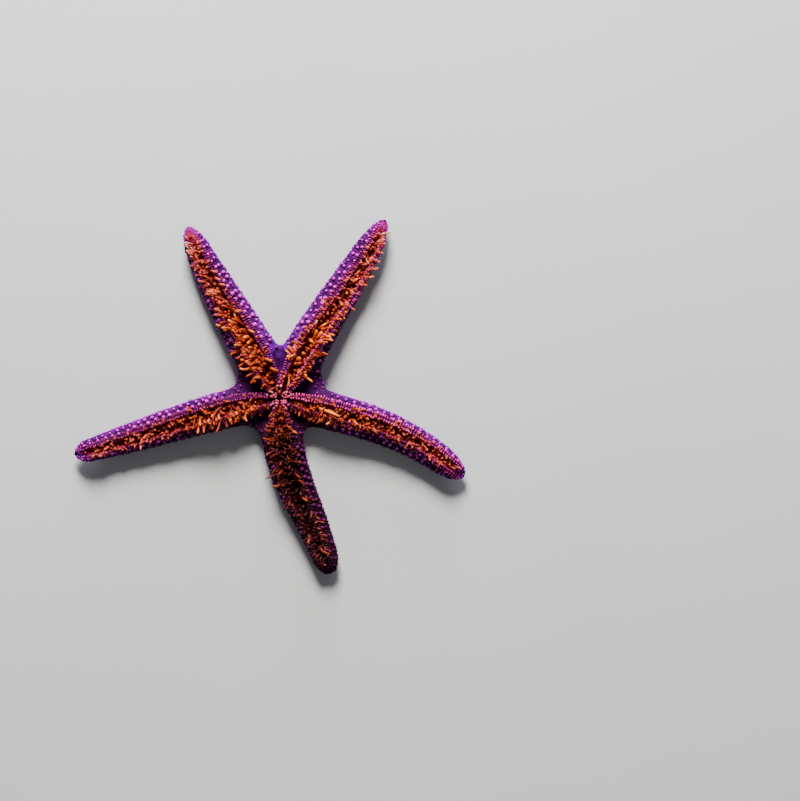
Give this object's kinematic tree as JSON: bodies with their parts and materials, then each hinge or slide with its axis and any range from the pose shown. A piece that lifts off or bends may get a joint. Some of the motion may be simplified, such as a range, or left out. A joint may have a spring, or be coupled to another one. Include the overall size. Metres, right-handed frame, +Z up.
{
  "type": "sea star",
  "caption": "Life-size sea star on its back: bent tapering arms round a small disc, spiny skin, open grooves full of tube feet, mouth in the middle.",
  "frame": {"origin": "on the floor, straight under the mouth, at the middle of the flat that the disc rests on", "axes": "+Z up, out of the mouth and away from the floor; +Y between arms 1 and 2; arms numbered clockwise from above"},
  "size_m": [0.1206, 0.1093, 0.0123],
  "materials": {
    "skin": "satin",
    "tube_feet": "satin",
    "mouth_skin": "satin",
    "sieve_plate": "matte",
    "eyespot": "gloss"
  },
  "bodies": {
    "root": {"disc": "skin", "arm_1_inner": "skin", "arm_1_outer": "skin", "arm_2_inner": "skin", "arm_2_outer": "skin", "arm_3_inner": "skin", "arm_3_outer": "skin", "arm_4_inner": "skin", "arm_4_outer": "skin", "arm_5_inner": "skin", "arm_5_outer": "skin", "ambulacrum_1": "tube_feet", "ambulacrum_2": "tube_feet", "ambulacrum_3": "tube_feet", "ambulacrum_4": "tube_feet", "ambulacrum_5": "tube_feet", "mouth": "mouth_skin", "madreporite": "sieve_plate", "eyespot_1": "eyespot", "eyespot_2": "eyespot", "eyespot_3": "eyespot", "eyespot_4": "eyespot", "eyespot_5": "eyespot"}
  },
  "joints": []
}
